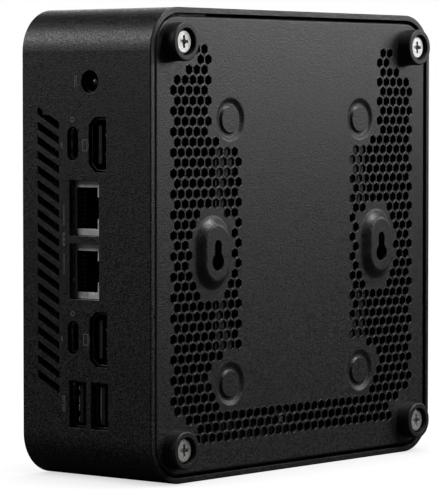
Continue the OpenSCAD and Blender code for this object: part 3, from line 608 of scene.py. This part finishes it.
# The vents, in millimetres: a place is given as far out to the side and as a height, from the case's middle
VENT_PITCH = 3.4
VENT_FLATS = 2.8
VENT_CORNER = 0.22              # how far from a vent's corner its bead starts to turn
VENT_ROW_Z = -2.9               # height of the row that the others are counted from
VENT_FIELD = (56.2, 57.0)       # how far the vents reach, to the side and up or down
PLAIN_BAND = (27.0, -49.0)      # half the width of the plain band, and the height at which it ends below
PLAIN_TOP = (40.5, 31.0)        # half the width of the plain field at the top, and where it starts
SEAT_MIDDLE_Z = -2.45           # middle height of the drive seats and of the keyhole bosses
BOSS_SIDE, BOSS_STRAIGHT, BOSS_CLEAR = 39.0, 3.0, 10.05
SEAT_SIDE, SEAT_UP, SEAT_CLEAR = 30.86, 38.3, 8.78
FOOT_SIDE, FOOT_UP, FOOT_CLEAR = 55.5, 57.9, 9.5
PLATE_RECESS = 0.3              # from the rim to the plate's face
# The drop section of a bead: how far it lies outside the hole's edge and how deep under the face
BEAD_SECTION = np.array([[0.16, 0.02], [0.07, -0.05], [-0.01, 0.0], [-0.03, 0.16], [0.06, 0.24]])


def vent_middles():
    """Middles of the vents as (y, z) in millimetres: a honeycomb, cut back round what the plate carries."""
    field_y, field_z = VENT_FIELD
    row_pitch = VENT_PITCH * math.sqrt(3) / 2
    rows, columns = math.ceil(field_z / row_pitch), math.ceil(field_y / VENT_PITCH)
    row, column = np.meshgrid(np.arange(-rows, rows + 1), np.arange(-columns, columns + 1), indexing="ij")
    y = (column + np.where(row % 2 == 0, 0.5, 0)) * VENT_PITCH
    z = VENT_ROW_Z + row * row_pitch
    out = np.abs(y)
    kept = (out < field_y) & (np.abs(z) < field_z)
    kept &= (out > PLAIN_BAND[0]) | (z < PLAIN_BAND[1])
    kept &= (out > PLAIN_TOP[0]) | (z < PLAIN_TOP[1])
    past_boss = np.maximum(np.abs(z - SEAT_MIDDLE_Z) - BOSS_STRAIGHT, 0)
    kept &= np.hypot(out - BOSS_SIDE, past_boss) > BOSS_CLEAR
    for side in (-1, 1):
        kept &= np.hypot(out - SEAT_SIDE, z - SEAT_MIDDLE_Z - side * SEAT_UP) > SEAT_CLEAR
        kept &= np.hypot(out - FOOT_SIDE, z - side * FOOT_UP) > FOOT_CLEAR
    return np.stack([y[kept], z[kept]], -1)


def vent_loop(offset):
    """A hexagon offset outwards, as twelve points: two beside each corner, on the edges that meet there."""
    turn = np.radians(30 + 60 * np.arange(6))
    corner = (VENT_FLATS / 2 + offset) / math.cos(math.pi / 6) * np.stack([np.cos(turn), np.sin(turn)], -1)
    along = np.roll(corner, -1, axis=0) - corner
    along /= np.linalg.norm(along, axis=1, keepdims=True)
    before = corner - VENT_CORNER * np.roll(along, 1, axis=0)
    after = corner + VENT_CORNER * along
    return np.stack([before, after], 1).reshape(-1, 2)


def add_vent_beads():
    """The thick paint on each vent's edge: a drop section carried round the hexagon."""
    middles = vent_middles()
    loops = np.stack([vent_loop(offset) for offset, _ in BEAD_SECTION])
    count = len(middles)
    rings, around, _ = loops.shape
    points = np.empty((count, rings, around, 3))
    points[..., 0] = PLATE_RECESS + BEAD_SECTION[:, 1][None, :, None]
    points[..., 1:] = middles[:, None, None, :] + loops[None]
    vertices = to_frame(points.reshape(-1, 3))
    step = rings * around
    one = outward(vertices[:step], tube_faces(rings, around, joined=True))
    add_piece("vent_beads", vertices, repeated(one, count, step), "bead", "case")


def add_bars(name, bars, finish):
    """Joins bars into one piece. A bar is a list of rings of equal length, closed by a fan at each end."""
    vertices, faces, first = [], [], 0
    for rings in bars:
        count, around, _ = rings.shape
        ends = np.stack([rings[0].mean(0), rings[-1].mean(0)])
        own = np.vstack([rings.reshape(-1, 3), ends])
        quads = tube_faces(count, around)
        turn = np.arange(around)
        beside = (turn + 1) % around
        last = (count - 1) * around
        near = np.stack([beside, turn, np.full(around, count * around)], -1)
        far = np.stack([last + turn, last + beside, np.full(around, count * around + 1)], -1)
        split = np.vstack([quads[:, [0, 1, 2]], quads[:, [0, 2, 3]], near[:, ::-1], far[:, ::-1]])
        faces.append(outward(own - own.mean(0), split) + first)
        vertices.append(own)
        first += len(own)
    add_piece(name, np.vstack(vertices), np.vstack(faces), finish, "case")


def round_section(radius, around):
    """A circle as (across, up)."""
    turn = np.arange(around) * 2 * math.pi / around
    return radius * np.stack([np.cos(turn), np.sin(turn)], -1)


# Middles of the sockets as (x from the rim, z from mid-height), and the rear wall's face, in millimetres
REAR_FACE = 66.25
NETWORK_AT = ((25.35, 10.55), (25.35, -7.65))
USB_A_AT = ((27.95, -45.9), (19.55, -45.9))
VIDEO_AT = ((20.2, 28.75), (20.0, -26.9))

SPRING_WALL = 7.55      # from a network socket's middle to the wall that carries a spring
SPRING_LOW = 2.6        # how much nearer the bottom plate a spring lies than the socket's middle
SPRING_DEPTH, SPRING_LENGTH = 3.2, 5.5      # its start behind the rear face, and its run inwards
SPRING_GAP, SPRING_BOW = 0.1, 0.55          # off the wall at its ends, and how far it bows
SPRING_SECTION = np.array([[-0.9, 0, -0.09], [0.9, 0, -0.09], [0.9, 0, 0.09], [-0.9, 0, 0.09]])


def add_network_springs():
    """Two grounding springs in each network socket: a strip bowed inwards as a half sine along the depth."""
    u = np.linspace(0, 1, 12)
    bars = []
    for x, z in NETWORK_AT:
        for side in (-1, 1):
            across = np.full_like(u, x - SPRING_LOW)
            inwards = REAR_FACE - SPRING_DEPTH - SPRING_LENGTH * u
            up = z + side * SPRING_WALL - side * (SPRING_GAP + SPRING_BOW * np.sin(math.pi * u))
            middle = np.stack([across, inwards, up], -1)
            bars.append(to_frame(middle[:, None] + SPRING_SECTION))
    add_bars("network_springs", bars, "spring")


LIP_RADIUS = 0.27
LIP_OUT, LIP_DEPTH = 1.72, 2.82     # from the tongue's middle towards the lid, and behind the rear face
LIP_SWELL = np.array([0.72, 1, 1, 1, 1, 0.72])      # share of the full radius along a piece of lip
LIP_SPANS = (           # ends of the pieces, from the socket's middle: the first tongue's lip has notches, so that its pieces are painted glints at the contact ends
    ((-5.2, -3.8), (-2.2, -0.15), (0.15, 2.2), (3.8, 5.2)),
    ((-5.3, 5.3),),
)


def add_tongue_lips():
    """The moulded lip along each rear tongue: a circle carried straight, a little smaller at the ends; its
    light grey is a painted highlight where the tongue's front edge and its contact ends catch the light.
    """
    section = round_section(LIP_RADIUS, 10)
    swell = LIP_SWELL[:, None]
    bars = []
    for (x, z), spans in zip(USB_A_AT, LIP_SPANS):
        for start, end in spans:
            rings = np.empty((len(swell), len(section), 3))
            rings[..., 0] = x + LIP_OUT + section[:, 0] * swell
            rings[..., 1] = REAR_FACE - LIP_DEPTH + section[:, 1] * swell
            rings[..., 2] = z + np.linspace(start, end, len(swell))[:, None]
            bars.append(to_frame(rings))
    add_bars("tongue_lips", bars, "lip")


RIVET_RADIUS, RIVET_HEIGHT = 0.42, 0.28
RIVET_CROWN = 0.97      # share of the height at which the dome is closed flat
RIVET_SIDE, RIVET_DEPTH = 2.7, 3.4      # from the socket's middle to each side, and behind the rear face
VIDEO_TONGUE_HALF = 0.28                # from the tongue's middle to the face that carries the rivets


def add_video_rivets():
    """Two rivet domes on each video tongue: a circle that shrinks as a quarter round."""
    rise = np.linspace(0, RIVET_CROWN, 7)[:, None]
    shrink = np.sqrt(1 - rise ** 2)
    section = round_section(RIVET_RADIUS, 14)
    bars = []
    for x, z in VIDEO_AT:
        for side in (-1, 1):
            rings = np.empty((len(rise), len(section), 3))
            rings[..., 0] = x - VIDEO_TONGUE_HALF - RIVET_HEIGHT * rise
            rings[..., 1] = REAR_FACE - RIVET_DEPTH + section[:, 0] * shrink
            rings[..., 2] = z + side * RIVET_SIDE + section[:, 1] * shrink
            bars.append(to_frame(rings))
    add_bars("video_rivets", bars, "spring")


add_vent_beads()
add_network_springs()
add_tongue_lips()
add_video_rivets()


# ---------------------------------------------------------------- stage


def direction(azimuth, elevation):
    """Unit vector from the object: azimuth 0 is -y and 90 is +x, elevation is above the horizon."""
    a, e = math.radians(azimuth), math.radians(elevation)
    return Vector((math.sin(a) * math.cos(e), -math.cos(a) * math.cos(e), math.sin(e)))


def softbox(name, azimuth, elevation, distance, width, height, radiance, aim=MIDDLE):
    """A rectangular lamp that faces aim; radiance is how bright its face looks."""
    lamp = bpy.data.lights.new(name, "AREA")
    lamp.shape = "RECTANGLE"
    lamp.size, lamp.size_y = width, height
    lamp.energy = radiance * math.pi * width * height
    made = bpy.data.objects.new(name, lamp)
    towards = direction(azimuth, elevation)
    made.location = aim + towards * distance
    made.rotation_mode = "QUATERNION"
    made.rotation_quaternion = towards.to_track_quat("Z", "Y")
    made.visible_camera = False
    bpy.context.scene.collection.objects.link(made)


CAMERA_AZIMUTH = 219.92
CAMERA_ELEVATION = 2.66
CAMERA_DISTANCE = 0.925
CAMERA_LENS = 220.5
CAMERA_AIM = (cad_low + cad_high) / 2 + Vector((4.21, 3.82, -3.65)) * MM


def add_camera():
    data = bpy.data.cameras.new("camera")
    data.lens = CAMERA_LENS
    data.sensor_width = 36
    data.clip_start, data.clip_end = 0.05, 20
    made = bpy.data.objects.new("camera", data)
    towards = direction(CAMERA_AZIMUTH, CAMERA_ELEVATION)
    made.location = CAMERA_AIM + towards * CAMERA_DISTANCE
    made.rotation_mode = "QUATERNION"
    made.rotation_quaternion = towards.to_track_quat("Z", "Y")
    bpy.context.scene.collection.objects.link(made)
    bpy.context.scene.camera = made


FLOOR_RADIUS = 4.0
FLOOR_GREY = 0.05       # how much of the lamps' light the floor sends back
FLOOR_RINGS = (0.02, 0.1, 0.3, 0.8, 2.0, FLOOR_RADIUS)
SHADOW_REACH = 0.05     # how near the case the painted contact shadow starts to darken the floor
SHADOW_LEVEL = 0.62     # the floor's glow right under it, where the painted shadow is darkest


def add_floor():
    """A round pale floor at the height that the case stands on: r and angle on a polar grid.

    It glows white for the camera alone, less where the case stands close to it: a painted contact shadow
    driven by ambient occlusion, not by the lamps.
    """
    around = 64
    r, a = np.meshgrid(FLOOR_RINGS, np.arange(around) * 2 * math.pi / around, indexing="ij")
    points = np.stack([r * np.cos(a), r * np.sin(a), np.full_like(r, cad_low.z)], -1).reshape(-1, 3)
    points = np.vstack([points, [[0, 0, cad_low.z]]])
    turn = np.arange(around)
    centre = np.stack([turn, (turn + 1) % around, np.full(around, len(points) - 1)], -1)
    mesh = bpy.data.meshes.new("floor")
    mesh.from_pydata(points.tolist(), [], tube_faces(len(FLOOR_RINGS), around).tolist() + centre.tolist())
    mesh.update()
    material = bpy.data.materials.new("floor_pale")
    material.use_nodes = True
    nodes, links = material.node_tree.nodes, material.node_tree.links
    shader = nodes["Principled BSDF"]
    shader.inputs["Roughness"].default_value = 0.9
    shader.inputs["Specular IOR Level"].default_value = 0.0
    coordinates = nodes.new("ShaderNodeTexCoord")
    paper = nodes.new("ShaderNodeTexNoise")
    paper.inputs["Scale"].default_value = 60
    tint = nodes.new("ShaderNodeValToRGB")
    tint.color_ramp.elements[0].color = (*grey(FLOOR_GREY), 1)
    tint.color_ramp.elements[1].color = (*grey(FLOOR_GREY * 1.1), 1)
    links.new(coordinates.outputs["Object"], paper.inputs["Vector"])
    links.new(paper.outputs["Fac"], tint.inputs["Fac"])
    links.new(tint.outputs["Color"], shader.inputs["Base Color"])
    # painted contact shadow: ambient occlusion dims the floor's glow near the case
    contact = nodes.new("ShaderNodeAmbientOcclusion")
    contact.inputs["Distance"].default_value = SHADOW_REACH
    glow = nodes.new("ShaderNodeValToRGB")
    glow.color_ramp.elements[0].color = (*grey(SHADOW_LEVEL), 1)
    glow.color_ramp.elements[1].position = 0.85
    links.new(contact.outputs["AO"], glow.inputs["Fac"])
    links.new(glow.outputs["Color"], shader.inputs["Emission Color"])
    path = nodes.new("ShaderNodeLightPath")
    links.new(path.outputs["Is Camera Ray"], shader.inputs["Emission Strength"])
    mesh.materials.append(material)
    floor = bpy.data.objects.new("floor", mesh)
    bpy.context.scene.collection.objects.link(floor)


AMBIENT = 0.05          # how bright the surroundings look to the object


def add_world():
    """White where the camera looks and a dim grey for everything that is lit."""
    world = bpy.data.worlds.new("studio")
    bpy.context.scene.world = world
    world.use_nodes = True
    nodes, links = world.node_tree.nodes, world.node_tree.links
    background = nodes["Background"]
    background.inputs["Color"].default_value = (1, 1, 1, 1)
    path = nodes.new("ShaderNodeLightPath")
    level = nodes.new("ShaderNodeMapRange")
    level.inputs["To Min"].default_value = AMBIENT
    level.inputs["To Max"].default_value = 1.0
    links.new(path.outputs["Is Camera Ray"], level.inputs["Value"])
    links.new(level.outputs["Result"], background.inputs["Strength"])


def add_lights():
    """Soft boxes: one beside the plate, one above it, one past the lid at the rear and two at the front.

    The numbers are azimuth, elevation, distance, width, height and radiance.
    """
    plate = case_point(0, 0, 0)
    softbox("plate_key", 320, 21, 0.45, 0.30, 0.16, 6.0, aim=plate)
    softbox("top_left", 306, 68, 0.6, 0.30, 0.22, 18.0, aim=plate)
    softbox("corner_strip", 131, 29, 0.9, 0.8, 0.16, 9.0)
    softbox("backdrop_glow", 40, 9, 1.4, 1.2, 0.50, 3.2)
    softbox("front_fill", 40, 30, 1.2, 0.6, 0.5, 1.2)


add_camera()
add_floor()
add_world()
add_lights()
bpy.context.scene.view_settings.view_transform = "Standard"
